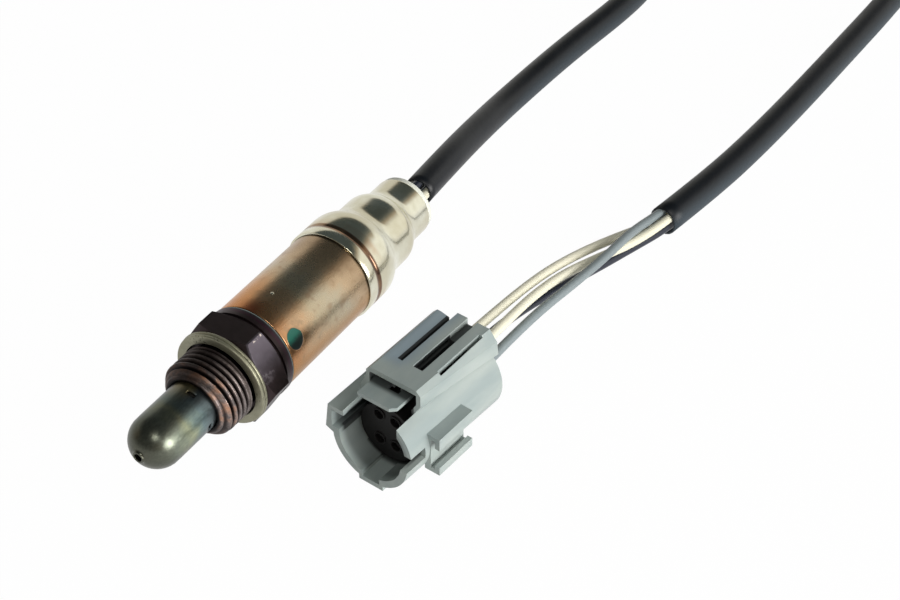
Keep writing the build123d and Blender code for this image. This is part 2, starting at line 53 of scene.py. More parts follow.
# shader building
class Tap:
    # one output of a node; sums and products of taps add Math nodes
    def __init__(self, tree, socket):
        self.tree, self.socket = tree, socket

    def math(self, operation, *others):
        return self.tree.add("ShaderNodeMath", {"operation": operation}, dict(enumerate((self, *others))))

    def __add__(self, other):
        return self.math("ADD", other)

    def __mul__(self, other):
        return self.math("MULTIPLY", other)

    __radd__, __rmul__ = __add__, __mul__

    def __sub__(self, other):
        return self.math("SUBTRACT", other)

    def __rsub__(self, other):
        return self.tree.add("ShaderNodeMath", {"operation": "SUBTRACT"}, {0: other, 1: self})

    def __truediv__(self, other):
        return self.math("DIVIDE", other)

    def __pow__(self, other):
        return self.math("POWER", other)

    def clamp(self):
        return self.math("MAXIMUM", 0).math("MINIMUM", 1)

    def step(self, low, high):
        # 0 below low and 1 above high, smooth between; it falls where low is the larger
        return self.tree.add(
            "ShaderNodeMapRange", {"interpolation_type": "SMOOTHSTEP"},
            {"Value": self, 1: low, 2: high, 3: 0, 4: 1},
        )

    def bump(self, middle, half, soft):
        # 1 within half of middle, fading over soft
        return (self - middle).math("ABSOLUTE").step(half + soft, half)


class Tree:
    def __init__(self, nodeTree):
        self.nodes, self.links = nodeTree.nodes, nodeTree.links
        self.nodes.clear()

    def add(self, kind, settings=None, sockets=None, output=0):
        node = self.nodes.new(kind)
        for key, value in (settings or {}).items():
            if key == "stops":
                ramp = node.color_ramp.elements
                while len(ramp) < len(value):
                    ramp.new(1)
                for element, (place, colour) in zip(ramp, value):
                    element.position, element.color = place, (*colour, 1)
            else:
                setattr(node, key, value)
        for key, value in (sockets or {}).items():
            if isinstance(value, Tap):
                self.links.new(value.socket, node.inputs[key])
            else:
                node.inputs[key].default_value = value
        return Tap(self, node.outputs[output])

    def place(self):
        # object position in millimetres
        point = self.add("ShaderNodeTexCoord", output="Object")
        return self.add("ShaderNodeVectorMath", {"operation": "SCALE"}, {0: point, "Scale": 1 / mm})

    def split(self, vector):
        first = self.add("ShaderNodeSeparateXYZ", None, {0: vector})
        outputs = first.socket.node.outputs
        return [Tap(self, outputs[i]) for i in range(3)]

    def scaled(self, vector, x, y, z):
        return self.add("ShaderNodeVectorMath", {"operation": "MULTIPLY"}, {0: vector, 1: (x, y, z)})

    def noise(self, vector, scale, detail=3, rough=0.5, warp=0):
        return self.add(
            "ShaderNodeTexNoise", None,
            {"Vector": vector, "Scale": scale, "Detail": detail, "Roughness": rough, "Distortion": warp},
        )

    def blend(self, first, second, factor):
        sockets = {0: factor, 6: colour(first), 7: colour(second)}
        return self.add("ShaderNodeMix", {"data_type": "RGBA"}, sockets, 2)

    def multiplied(self, first, second):
        settings = {"data_type": "RGBA", "blend_type": "MULTIPLY"}
        return self.add("ShaderNodeMix", settings, {0: 1, 6: first, 7: second}, 2)

    def ramp(self, value, *stops):
        return self.add("ShaderNodeValToRGB", {"stops": stops}, {0: value})


def colour(value):
    return value if isinstance(value, Tap) else (*value, 1)


class Finish(Tree):
    def __init__(self, name):
        self.material = bpy.data.materials.new(name)
        self.material.use_nodes = True
        super().__init__(self.material.node_tree)

    def surface(self, relief=None, depth=0.0, **values):
        # values are the Principled sockets; relief is a height in millimetres
        sockets = {key.replace("_", " "): value for key, value in values.items()}
        base = sockets["Base Color"]
        sockets["Base Color"] = colour(base)
        if relief is not None:
            sockets["Normal"] = self.add(
                "ShaderNodeBump", None, {"Strength": 1, "Distance": depth * mm, "Height": relief}
            )
        shader = self.add("ShaderNodeBsdfPrincipled", None, sockets)
        self.addOutput(shader)
        self.material.diffuse_color = colour(base) if not isinstance(base, Tap) else (0.5, 0.5, 0.5, 1)
        return self

    def addOutput(self, shader):
        output = self.nodes.new("ShaderNodeOutputMaterial")
        self.links.new(shader.socket, output.inputs["Surface"])


def aroundAxis(tree, point):
    # place along the sensor, angle from +X towards +Z in degrees, and distance from the axis
    x, y, z = tree.split(point)
    return y, z.math("ARCTAN2", x) * (180 / pi), (x * x + z * z) ** 0.5


# mesh building
def addMesh(name, vertices, faces):
    mesh = bpy.data.meshes.new(name)
    mesh.from_pydata(vertices, [], faces)
    mesh.update()
    thing = bpy.data.objects.new(name, mesh)
    bpy.context.collection.objects.link(thing)
    return thing


def smooth(thing, angle=35):
    thing.data.shade_smooth()
    thing.data.set_sharp_from_angle(angle=radians(angle))
    return thing


def settle(thing, slot, finish, *nodes):
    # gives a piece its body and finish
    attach(thing, "root")
    if nodes:
        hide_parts(*nodes)
    thing.data.materials.clear()
    thing.data.materials.append(finish.material)
    return thing


def mend(thing):
    # joins the vertices that lie together and turns all faces outwards
    bm = bmesh.new()
    bm.from_mesh(thing.data)
    bmesh.ops.remove_doubles(bm, verts=bm.verts, dist=1e-7)
    bmesh.ops.recalc_face_normals(bm, faces=bm.faces)
    bm.to_mesh(thing.data)
    bm.free()
    return thing


def thicken(thing, wall):
    # gives a surface a wall, in millimetres, on its inner side
    sheet = thing.modifiers.new("wall", "SOLIDIFY")
    sheet.thickness, sheet.offset = wall * mm, -1
    return thing


def turned(name, rows, columns=160, closed=False, skip=()):
    # rows are (place, radius) in mm, where a radius may be a function of the angle
    # skip holds the (row, column) cells that are left open
    vertices, faces = [], []
    for place, radius in rows:
        for i in range(columns):
            angle = 2 * pi * i / columns
            far = radius(angle) if callable(radius) else radius
            vertices.append((far * cos(angle) * mm, place * mm, far * sin(angle) * mm))
    last = len(rows) if closed else len(rows) - 1
    for j in range(last):
        following = (j + 1) % len(rows)
        for i in range(columns):
            if (j, i) in skip:
                continue
            beside = (i + 1) % columns
            faces.append((
                j * columns + i, j * columns + beside, following * columns + beside, following * columns + i,
            ))
    return mend(addMesh(name, vertices, faces))


def rounded(corners, radius, steps=6):
    # the corners of an open outline, each inner one replaced by an arc; radius may be a list
    radii = radius if isinstance(radius, (list, tuple)) else [radius] * (len(corners) - 2)
    points = [tuple(corners[0])]
    for before, corner, after, wanted in zip(corners, corners[1:], corners[2:], radii):
        before, corner, after = Vector(before), Vector(corner), Vector(after)
        reach = min(wanted, 0.49 * (corner - before).length, 0.49 * (after - corner).length)
        start = corner + (before - corner).normalized() * reach
        end = corner + (after - corner).normalized() * reach
        for i in range(steps + 1):
            t = i / steps
            points.append(tuple(start.lerp(corner, t).lerp(corner.lerp(end, t), t)))
    return points + [tuple(corners[-1])]


def dressed(name, node, width, keep=None):
    # a copy of a CAD solid with its edges eased by width; only what lies behind keep stays
    thing = bpy.data.objects.new(name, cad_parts[node].data.copy())
    bpy.context.collection.objects.link(thing)
    bm = bmesh.new()
    bm.from_mesh(thing.data)
    bmesh.ops.remove_doubles(bm, verts=bm.verts, dist=2e-6)
    if keep is not None:
        bmesh.ops.bisect_plane(
            bm, geom=bm.verts[:] + bm.edges[:] + bm.faces[:], dist=1e-7,
            plane_co=(0, keep * mm, 0), plane_no=(0, -1, 0), clear_outer=True,
        )
    bmesh.ops.dissolve_limit(bm, angle_limit=radians(1.5), verts=bm.verts, edges=bm.edges)
    bmesh.ops.recalc_face_normals(bm, faces=bm.faces)
    bm.to_mesh(thing.data)
    bm.free()
    thing.data.validate()
    smooth(thing, 30)
    ease = thing.modifiers.new("ease", "BEVEL")
    ease.width, ease.segments = width * mm, 3
    ease.limit_method, ease.angle_limit = "ANGLE", radians(28)
    ease.harden_normals, ease.use_clamp_overlap = True, True
    return thing


# the plug's own frame
plug = dict(place=Vector((0.0371, -0.0007, -0.0011)), lean=5.2)
plug["turn"] = Matrix.Rotation(radians(-plug["lean"]), 3, "Z")


# finishes of the metal parts
def noseSteel():
    tree = Finish("noseSteel")
    point = tree.place()
    y, angle = aroundAxis(tree, point)[:2]
    drift = tree.noise(point, 0.22, 3, 0.5)
    fine = tree.noise(tree.scaled(point, 1, 0.35, 1), 2.2, 3, 0.6)
    heat = (y + (drift - 0.5) * 9).step(-31, -8)
    tint = tree.ramp(
        heat, (0.0, (0.110, 0.112, 0.088)), (0.35, (0.128, 0.142, 0.118)), (0.55, (0.170, 0.180, 0.128)),
        (0.70, (0.120, 0.150, 0.138)), (0.84, (0.088, 0.118, 0.128)), (1.0, (0.056, 0.066, 0.074)),
    )
    brown = y.step(-17, -11) * angle.bump(102, 16, 22) * (drift + 0.35).clamp()
    tint = tree.blend(tint, (0.260, 0.205, 0.090), brown * 0.8)
    shade = tree.blend((0.62, 0.62, 0.62), (1.2, 1.2, 1.18), fine)
    # painted highlight: a lighter streak along the right side of the nose, fading out towards the tip
    paintedLight = tree.blend((0.9, 0.9, 0.9), (2.3, 2.35, 2.25), angle.bump(16, 8, 34) * y.step(-28.5, -18))
    base = tree.multiplied(tree.multiplied(tint, shade), paintedLight)
    return tree.surface(
        relief=fine, depth=0.02, Base_Color=base, Metallic=0.92, Roughness=fine * 0.16 + 0.24,
    )


def threadSteel():
    tree = Finish("threadSteel")
    point = tree.place()
    y, angle, far = aroundAxis(tree, point)
    patch = tree.noise(point, 0.35, 3, 0.6)
    fine = tree.noise(tree.scaled(point, 1, 3, 1), 1.6, 4, 0.7)
    crest = far - 9 + y.step(-8.3, -10.65) * 1.65
    # real wear on the crests, with a painted highlight: they show bright mostly on the right side, where the
    # light falls
    paintedLight = angle.bump(22, 22, 48) * 0.85 + 0.15
    wearAndHighlight = crest.step(-0.62, -0.08) * ((fine + patch - 0.58) * 1.8).clamp() * paintedLight
    copper = ((patch - 0.42) * 4).clamp() * y.step(-5.5, -9.0)
    dark = tree.blend((0.012, 0.0085, 0.008), (0.038, 0.025, 0.023), patch)
    # painted shade: the roots of the thread are made near black
    dark = tree.blend(dark, (0.003, 0.002, 0.002), crest.step(-0.55, -0.85))
    bright = tree.blend((0.34, 0.29, 0.28), (0.58, 0.30, 0.18), copper)
    base = tree.blend(dark, bright, wearAndHighlight)
    return tree.surface(
        relief=fine, depth=0.03, Base_Color=base, Metallic=0.9, Roughness=0.52 - wearAndHighlight * 0.2,
    )


def shellSteel():
    tree = Finish("shellSteel")
    point = tree.place()
    x, y, z = tree.split(point)
    patch = tree.noise(point, 0.16, 4, 0.55)
    fine = tree.noise(point, 1.3, 4, 0.65)
    black = tree.blend((0.020, 0.016, 0.014), (0.060, 0.040, 0.045), patch)
    rim = y.bump(9.2, 0.7, 0.5)
    oxide = tree.blend((0.060, 0.016, 0.036), (0.040, 0.062, 0.066), y.step(8.4, 9.6))
    base = tree.blend(black, oxide, rim * (patch * 0.9 + 0.1))
    # painted reflection: the flat that faces up and to the right is made lighter; out across it, up along it
    flat = radians(30)
    out, up = x * cos(flat) + z * sin(flat), z * cos(flat) - x * sin(flat)
    side = out.step(10.4, 10.9) * (up + (patch - 0.5) * 5).step(-3.5, 2.5) * y.step(6.9, 6.3)
    base = tree.blend(base, (0.190, 0.165, 0.200), side * (patch * 0.6 + 0.5).clamp())
    # wear marks and painted sheen: pale specks only on that flat
    scuffAndSheen = (fine * patch).step(0.28, 0.40) * side
    base = tree.blend(base, (0.44, 0.40, 0.43), scuffAndSheen * 0.7)
    # painted glint: a bright streak, broken up by noise, along the upper corner of that flat
    edgeGlint = tree.noise(point, 1.1, 2, 0.5).step(0.60, 0.66) * up.bump(6.15, 0.25, 0.2) * out.step(10.2, 10.6)
    base = tree.blend(base, (0.75, 0.66, 0.60), edgeGlint)
    # painted highlight: a pale teal band round the collar's rear edge
    rimHighlight = y.bump(9.55, 0.12, 0.2)
    base = tree.blend(base, (0.24, 0.30, 0.30), rimHighlight * 0.8)
    return tree.surface(
        relief=fine, depth=0.025, Base_Color=base, Metallic=0.85, Roughness=fine * 0.25 + 0.26,
    )


def gasketSteel():
    tree = Finish("gasketSteel")
    point = tree.place()
    patch = tree.noise(point, 0.3, 3, 0.6)
    fine = tree.noise(point, 1.8, 3, 0.6)
    base = tree.blend((0.20, 0.195, 0.135), (0.40, 0.39, 0.29), patch)
    base = tree.blend(base, (0.02, 0.018, 0.014), (patch * fine).step(0.34, 0.42) * 0.8)
    return tree.surface(relief=fine, depth=0.02, Base_Color=base, Metallic=0.8, Roughness=fine * 0.2 + 0.34)


# a green dot brushed on near the sleeve's front
paintDot = dict(angle=29, place=12.75, onRadius=10.85, halfWidth=2.5, halfLength=2.3)


def sleeveSteel():
    tree = Finish("sleeveSteel")
    point = tree.place()
    y, angle = aroundAxis(tree, point)[:2]
    drift = tree.noise(tree.scaled(point, 1, 0.55, 1), 0.085, 3, 0.5, 0.4)
    mottle = tree.noise(point, 0.42, 4, 0.6)
    fine = tree.noise(tree.scaled(point, 1, 0.25, 1), 1.9, 3, 0.7)
    heat = (y + (drift - 0.5) * 22 + (mottle - 0.5) * 5).step(8, 41)
    tint = tree.ramp(
        heat, (0.0, (0.56, 0.28, 0.13)), (0.18, (0.60, 0.39, 0.23)), (0.42, (0.54, 0.45, 0.31)),
        (0.62, (0.52, 0.45, 0.33)), (0.82, (0.54, 0.40, 0.26)), (1.0, (0.42, 0.30, 0.19)),
    )
    tint = tree.blend(tint, (0.36, 0.24, 0.15), mottle.step(0.52, 0.68) * 0.55)
    ember = y.step(15, 10.5) * angle.bump(112, 24, 16) * (mottle + 0.35).clamp()
    tint = tree.blend(tint, (0.42, 0.13, 0.06), ember)
    # painted shadow: the sleeve turns dark where it runs under the front of the cap's ring
    tint = tree.blend(tint, (0.05, 0.035, 0.02), y.step(37.55, 38.2) * 0.9)
    tint = tree.blend(tint, (0.40, 0.205, 0.065), angle.step(12, -14) * 0.85)
    tint = tree.blend(tint, (0.58, 0.27, 0.095), angle.bump(138, 26, 26) * y.step(31, 13) * 0.75)
    around = (angle - paintDot["angle"]) * (radians(paintDot["onRadius"]) / paintDot["halfWidth"])
    along = (y - paintDot["place"]) / paintDot["halfLength"]
    ragged = (mottle - 0.5) * 0.5
    dot = (around * around + along * along + ragged).step(1.05, 0.86)
    # the dot is teal in its upper part and near black in its lower part
    tealTowardsTop = (angle + (mottle - 0.5) * 14).step(25, 34)
    paint = tree.blend((0.002, 0.012, 0.011), (0.002, 0.135, 0.095), tealTowardsTop)
    base = tree.blend(tint, paint, dot)
    return tree.surface(
        relief=dot * 3 + fine, depth=0.02, Base_Color=base, Metallic=1 - dot,
        Roughness=(mottle * 0.16 + 0.20) * (1 - dot) + dot * 0.32,
    )


def capSteel():
    tree = Finish("capSteel")
    point = tree.place()
    y, angle = aroundAxis(tree, point)[:2]
    drift = tree.noise(point, 0.11, 3, 0.5)
    turningMarks = tree.noise(tree.scaled(point, 0.05, 1, 0.05), 2.6, 3, 0.6)
    base = tree.blend((0.66, 0.62, 0.47), (0.82, 0.81, 0.68), drift.step(0.35, 0.65))
    seam = y.bump(41.65, 0.55, 0.42) * angle.step(175, 95)
    base = tree.blend(base, (0.115, 0.055, 0.034), seam * 0.95)
    stain = y.bump(42.6, 1.2, 1.4) * drift.step(0.42, 0.62)
    base = tree.blend(base, (0.50, 0.30, 0.16), stain * 0.6)
    return tree.surface(
        relief=turningMarks, depth=0.012, Base_Color=base, Metallic=1.0, Roughness=drift * 0.12 + 0.13,
    )


# finishes of rubber, plastic and wire
def plain(name, low, high, scale, roughness, depth, metallic=0.0, stretch=1.0, sheen=0.5):
    tree = Finish(name)
    point = tree.scaled(tree.place(), 1, stretch, 1)
    grain = tree.noise(point, scale, 4, 0.6)
    soft = tree.noise(point, scale * 0.12, 2, 0.5)
    return tree.surface(
        relief=grain, depth=depth, Base_Color=tree.blend(low, high, grain * 0.5 + soft * 0.5),
        Metallic=metallic, Roughness=soft * 0.2 + roughness - 0.1, Specular_IOR_Level=sheen,
    )


# middle of the sheath where it lies on the floor
sheathHeight = -0.0078


def housingPlastic():
    tree = Finish("housingPlastic")
    point = tree.place()
    grain = tree.noise(point, 3.2, 3, 0.6)
    flow = tree.noise(tree.scaled(point, 1, 0.3, 1), 0.16, 3, 0.5)
    base = tree.blend((0.270, 0.325, 0.330), (0.355, 0.405, 0.395), flow.step(0.3, 0.7))
    rub = (grain * flow).step(0.33, 0.5)
    base = tree.blend(base, (0.47, 0.51, 0.50), rub * 0.35)
    # painted shade: the shroud's inside, the pocket over the latch and the depths of the slots are painted
    # dark and made dull
    # the places below are millimetres in the plug's own frame, where z is height
    x, y, z = tree.split(point)
    x, y, z = x - plug["place"].x / mm, y - plug["place"].y / mm, z - plug["place"].z / mm
    lean = radians(plug["lean"])
    across, along = x * cos(lean) - y * sin(lean), x * sin(lean) + y * cos(lean)
    # painted reflection: the tops at the left, behind the bridge, are tinted blue as if they mirrored the sky
    railTopSheen = z.step(12.4, 13.6) * along.step(9.5, 13) * across.step(1.5, -2.5)
    base = tree.blend(base, (0.225, 0.290, 0.350), railTopSheen * 0.75)
    inside = (across * across + z * z).step(78, 70) * along.step(0.2, 2.4)
    room = across.bump(-7.6, 2.5, 0.5) * z.bump(2.6, 2.9, 0.5) * along.step(0.3, 2.2)
    pocket = across.bump(-0.1, 5.5, 0.3) * along.step(5.6, 7.1) * z.step(12.9, 12.2)
    slots = across.bump(-2.22, 0.76, 0.08) * along.bump(22, 9.1, 0.3) * z.step(13.75, 13.5)
    slots += across.bump(2.35, 1.33, 0.08) * along.bump(19, 6.15, 0.2) * z.step(13.75, 13.4)
    shade = (inside * 0.55 + room * 0.7 + pocket * 0.9 + slots).clamp()
    base = tree.blend(base, (0.010, 0.012, 0.013), shade * 0.97)
    return tree.surface(
        relief=grain, depth=0.012, Base_Color=base, Roughness=grain * 0.18 + 0.30 + shade * 0.2,
    )


def sheathRubber():
    # black on top, with a painted blue-grey sheen low on the sides
    tree = Finish("sheathRubber")
    point = tree.place()
    grain = tree.noise(tree.scaled(point, 1, 0.5, 1), 0.6, 4, 0.6)
    soft = tree.noise(point, 0.07, 2, 0.5)
    height = tree.split(point)[2] - sheathHeight / mm
    lowSheen = height.step(3.35, 0.1) * (soft * 0.4 + 0.7)
    base = tree.blend((0.0018, 0.0026, 0.0042), (0.0055, 0.0080, 0.0125), grain * 0.5 + soft * 0.5)
    base = tree.blend(base, (0.033, 0.048, 0.062), lowSheen * 0.85)
    return tree.surface(
        relief=grain, depth=0.05, Base_Color=base, Roughness=soft * 0.2 + lowSheen * 0.1 + 0.3,
        Specular_IOR_Level=0.34,
    )


finishes = {
    "nose": noseSteel(),
    "thread": threadSteel(),
    "shell": shellSteel(),
    "gasket": gasketSteel(),
    "sleeve": sleeveSteel(),
    "cap": capSteel(),
    "housing": housingPlastic(),
    "ceramic": plain("ceramic", (0.70, 0.68, 0.62), (0.82, 0.80, 0.75), 1.2, 0.55, 0.01),
    "innerSteel": plain("innerSteel", (0.22, 0.21, 0.19), (0.36, 0.35, 0.33), 1.5, 0.36, 0.01, 0.9),
    "powder": plain("powder", (0.52, 0.51, 0.48), (0.66, 0.65, 0.61), 4.0, 0.85, 0.06),
    "contact": plain("contact", (0.62, 0.60, 0.55), (0.76, 0.74, 0.70), 2.0, 0.30, 0.008, 1.0),
    "whiteRubber": plain("whiteRubber", (0.70, 0.72, 0.66), (0.80, 0.82, 0.76), 1.4, 0.50, 0.02),
    "wireWhite": plain("wireWhite", (0.70, 0.68, 0.54), (0.80, 0.78, 0.65), 0.7, 0.42, 0.015, 0, 0.3),
    "wireGrey": plain("wireGrey", (0.175, 0.215, 0.235), (0.235, 0.275, 0.29), 0.7, 0.40, 0.015, 0, 0.3),
    "wireBlack": plain("wireBlack", (0.006, 0.009, 0.020), (0.012, 0.017, 0.034), 0.7, 0.34, 0.015, 0, 0.3),
    "sheath": sheathRubber(),
    "insert": plain("insert", (0.0026, 0.0023, 0.0023), (0.0055, 0.0048, 0.0047), 2.2, 0.50, 0.02, 0, 1, 0.2),
    "seal": plain("seal", (0.05, 0.018, 0.012), (0.08, 0.03, 0.02), 1.5, 0.55, 0.03),
}
print("finishes made")

# sheath and wires, along the same points as the CAD tubes
sheathRoute = [
    (0, 0.0745, 0), (-0.0009, 0.086, -0.0003), (-0.0041, 0.105, -0.0039),
    (-0.0069, 0.126, sheathHeight), (-0.0059, 0.155, sheathHeight), (-0.0033, 0.184, sheathHeight),
    (-0.0040, 0.200, sheathHeight), (-0.0118, 0.216, sheathHeight), (-0.0208, 0.230, sheathHeight),
    (-0.02, 0.248, sheathHeight), (-0.007, 0.2635, sheathHeight), (0.0115, 0.2702, sheathHeight),
    (0.0315, 0.269, sheathHeight), (0.048, 0.2575, sheathHeight), (0.0572, 0.240, sheathHeight),
    (0.0573, 0.218, sheathHeight), (0.0566, 0.194, sheathHeight), (0.0559, 0.170, sheathHeight),
    (0.0548, 0.147, sheathHeight), (0.0529, 0.125, sheathHeight), (0.0496, 0.1045, sheathHeight),
]
lead = dict(
    sheathDiameter=0.0072, sheathWall=0.5, sheathLength=0.4154,
    wireDiameter=0.00215, circle=0.0022, circleInSheath=0.0019,
    start=0.0576, leaves=0.068, pastMouth=0.0005, plugRear=33.3, terminal=22.4,
)
wires = {
    "wireWhiteA": dict(
        node="wire_white_a", socket="socket_upper_left", slot="wire_white", finish="wireWhite",
        leaves=180, clock=130, end=(-2.1, 4.1), length=0.5155,
        free=[
            (0.0440, 0.093, -0.0070), (0.0411, 0.081, -0.0045), (0.0393, 0.069, -0.0020),
            (0.0387, 0.057, 0.0002), (0.0385, 0.045, 0.0019),
        ],
    ),
    "wireWhiteB": dict(
        node="wire_white_b", socket="socket_upper_right", slot="wire_white", finish="wireWhite",
        leaves=0, clock=310, end=(2.1, 4.1), length=0.5129,
        free=[
            (0.0481, 0.093, -0.0070), (0.0444, 0.081, -0.0053), (0.0420, 0.069, -0.0027),
            (0.0415, 0.057, -0.0003), (0.0420, 0.045, 0.0017),
        ],
    ),
    "wireGrey": dict(
        node="wire_grey", socket="socket_lower_right", slot="wire_grey", finish="wireGrey",
        leaves=270, clock=40, end=(2.1, -2.64), length=0.5072,
        free=[
            (0.0470, 0.093, -0.0044), (0.0469, 0.081, -0.0034), (0.0457, 0.069, -0.0030),
            (0.0440, 0.057, -0.0028), (0.0429, 0.045, -0.0032),
        ],
    ),
    "wireBlack": dict(
        node="wire_black", socket="socket_lower_left", slot="wire_black", finish="wireBlack",
        leaves=90, clock=220, end=(-2.1, -2.64), length=0.5194,
        free=[
            (0.0473, 0.093, -0.0092), (0.0443, 0.081, -0.0083), (0.0414, 0.069, -0.0068),
            (0.0392, 0.057, -0.0052), (0.0378, 0.045, -0.0039),
        ],
    ),
}


def inPlug(x, y, z):
    # a place given in millimetres in the plug's own frame
    return plug["place"] + plug["turn"] @ Vector((x, y, z)) * mm


def beside(index, radius, clock):
    # beside a point of the sheath's route: clock 0 is above it and 90 to the right of its travel
    before = Vector(sheathRoute[max(index - 1, 0)])
    after = Vector(sheathRoute[min(index + 1, len(sheathRoute) - 1)])
    travel = (after - before).normalized()
    right = travel.cross(Vector((0, 0, 1))).normalized()
    up = right.cross(travel)
    return Vector(sheathRoute[index]) + (right * sin(radians(clock)) + up * cos(radians(clock))) * radius


def wirePoints(wire):
    leaves = radians(wire["leaves"])
    x, z = lead["circle"] * cos(leaves), lead["circle"] * sin(leaves)
    last = len(sheathRoute) - 1
    leavingClock = (90 - wire["leaves"]) % 360
    turn = (wire["clock"] - leavingClock + 180) % 360 - 180
    points = [(x, lead["start"], z), (x, sheathRoute[0][1] + lead["pastMouth"], z)]
    points += [beside(i, lead["circleInSheath"], leavingClock + turn * i / last) for i in range(1, last + 1)]
    across, height = wire["end"]
    return points + wire["free"] + [inPlug(across, lead[place], height) for place in ("plugRear", "terminal")]


def cordCurve(name, points, diameter, sides):
    curve = bpy.data.curves.new(name, "CURVE")
    curve.dimensions = "3D"
    spline = curve.splines.new("NURBS")
    spline.points.add(len(points) - 1)
    for knot, point in zip(spline.points, points):
        knot.co, knot.radius = (*point, 1), diameter / 2
    spline.order_u, spline.use_endpoint_u, spline.resolution_u = 3, True, 10
    curve.bevel_depth, curve.bevel_resolution = 1, sides
    thing = bpy.data.objects.new(name, curve)
    bpy.context.collection.objects.link(thing)
    return thing


sheath = thicken(cordCurve("cableSheath", sheathRoute, lead["sheathDiameter"], 8), lead["sheathWall"])
settle(sheath, "sheath_black", finishes["sheath"], "cable_sheath")
sheath.visible_glossy = False
for name, wire in wires.items():
    wire["piece"] = cordCurve(name, wirePoints(wire), lead["wireDiameter"], 6)
    settle(wire["piece"], wire["slot"], finishes[wire["finish"]], wire["node"])
print("cords laid")


# nose: a thin drawn tube with a round end, a rimmed hole at its tip and louvres near its root
nose = dict(radius=6.0, wall=0.5, tip=-28.2, hole=0.85, rim=0.3, rimWidth=0.6, rimSunk=0.06, columns=180)
louvre = dict(place=-12.6, length=1.0, width=2.0, count=4, firstAngle=73, depth=1.0, bend=1.3)


def noseTube():
    centre = nose["tip"] + nose["radius"]
    rimHalf = nose["rimWidth"] / 2
    rows = []
    for i in range(5):
        turn = pi * i / 4
        place = nose["tip"] - nose["rim"] * sin(turn) + nose["rimSunk"]
        rows.append((place, nose["hole"] + rimHalf - rimHalf * cos(turn)))
    for i in range(2, 25):
        turn = pi / 2 * i / 24
        far = nose["radius"] * sin(turn)
        if far > rows[-1][1] + 0.1:
            rows.append((centre - nose["radius"] * cos(turn), far))
    front, rear = louvre["place"] - louvre["length"] / 2, louvre["place"] + louvre["length"] / 2
    straight = [-21, -20, -18.5, -17, -15.5, -14.2]
    straight += [front + louvre["length"] * i / 4 for i in range(4)] + [rear, -11.4, -10.6, -8]
    firstStraight = len(rows)
    rows += [(place, nose["radius"]) for place in straight]
    columns = nose["columns"]
    step = 360 / columns
    slotRows = range(firstStraight + straight.index(front), firstStraight + straight.index(rear))
    half = louvre["width"] / 2 / nose["radius"] * 180 / pi
    slots, skip = [], set()
    for k in range(louvre["count"]):
        middle = louvre["firstAngle"] + 360 / louvre["count"] * k
        first = round((middle - half) / step)
        cells = range(first, first + round(2 * half / step))
        slots.append(cells)
        skip |= {(j, i % columns) for j in slotRows for i in cells}
    tube = turned("noseTube", rows, columns, skip=skip)
    flapVertices, flapFaces = [], []
    for cells in slots:
        base, wide = len(flapVertices), len(cells) + 1
        for n, j in enumerate([*slotRows, slotRows[-1] + 1]):
            far = nose["radius"] - louvre["depth"] * (n / len(slotRows)) ** louvre["bend"]
            for i in range(cells[0], cells[0] + wide):
                angle = radians(step * i)
                flapVertices.append((far * cos(angle) * mm, rows[j][0] * mm, far * sin(angle) * mm))
        for n in range(len(slotRows)):
            for i in range(wide - 1):
                a = base + n * wide + i
                flapFaces.append((a, a + 1, a + wide + 1, a + wide))
    flaps = addMesh("noseFlaps", flapVertices, flapFaces)
    bpy.ops.object.select_all(action="DESELECT")
    for thing in (flaps, tube):
        thing.select_set(True)
    bpy.context.view_layer.objects.active = tube
    bpy.ops.object.join()
    return thicken(smooth(mend(tube), 40), nose["wall"])


settle(noseTube(), "nose_steel", finishes["nose"], "outer_protection_tube")
print("nose made")

# threaded shank in front of the hexagon
thread = dict(
    front=-10.65, frontRadius=6.95, start=-8.3, end=-2.25, crest=9.0, root=8.0, pitch=1.5,
    flank=0.42, rootFlat=0.11, firstTurn=0.2, runIn=1.5, runOut=0.6,
    undercut=8.1, rear=-0.05, bore=6.08, boreRear=-8.15, edge=0.25, columns=200, rowStep=0.07,
)


def leadRadius(place):
    share = min(max((place - thread["front"]) / (thread["start"] - thread["front"]), 0), 1)
    return thread["frontRadius"] + (thread["crest"] - thread["frontRadius"]) * (1 - (1 - share) ** 1.25)


def threadRadius(place):
    # the radius at a place, as a function of the angle; the groove fades out at both ends
    def at(angle):
        turn = place / thread["pitch"] + angle / (2 * pi)
        across = abs(2 * (turn - int(turn // 1)) - 1) * thread["pitch"] / 2
        height = min(max((across - thread["rootFlat"]) / thread["flank"], 0), 1)
        height = 0.5 * height + 0.5 * height * height * (3 - 2 * height)
        runIn = min(max((place - thread["front"] - thread["firstTurn"]) / thread["runIn"], 0), 1)
        runOut = min(max((thread["end"] - place) / thread["runOut"], 0), 1)
        depth = (thread["crest"] - thread["root"]) * runIn * runOut
        return leadRadius(place) - depth * (1 - height)
    return at


def threadedShank():
    rows = [(thread["boreRear"], thread["bore"]), (thread["front"] + thread["edge"], thread["bore"])]
    rows += [(thread["front"], thread["bore"] + thread["edge"])]
    rows += [(thread["front"], thread["frontRadius"] - 0.15)]
    place = thread["front"] + 0.12
    while place < thread["end"]:
        rows.append((place, threadRadius(place)))
        place += thread["rowStep"]
    rows += [(place, thread["undercut"]) for place in (thread["end"], -1.0, thread["rear"])]
    return smooth(turned("threadedShank", rows, thread["columns"]), 60)


settle(threadedShank(), "shell_steel", finishes["thread"])
settle(dressed("hexBody", "sensor_shell", 0.28, keep=0.0), "shell_steel", finishes["shell"], "sensor_shell")
print("shell made")

# crushed ring gasket, two folds of sheet
gasket = dict(inner=9.2, outer=11.38, thick=1.6, fold=0.78, seam=10.7, firstBack=0.12, rear=-0.02, edge=0.36)


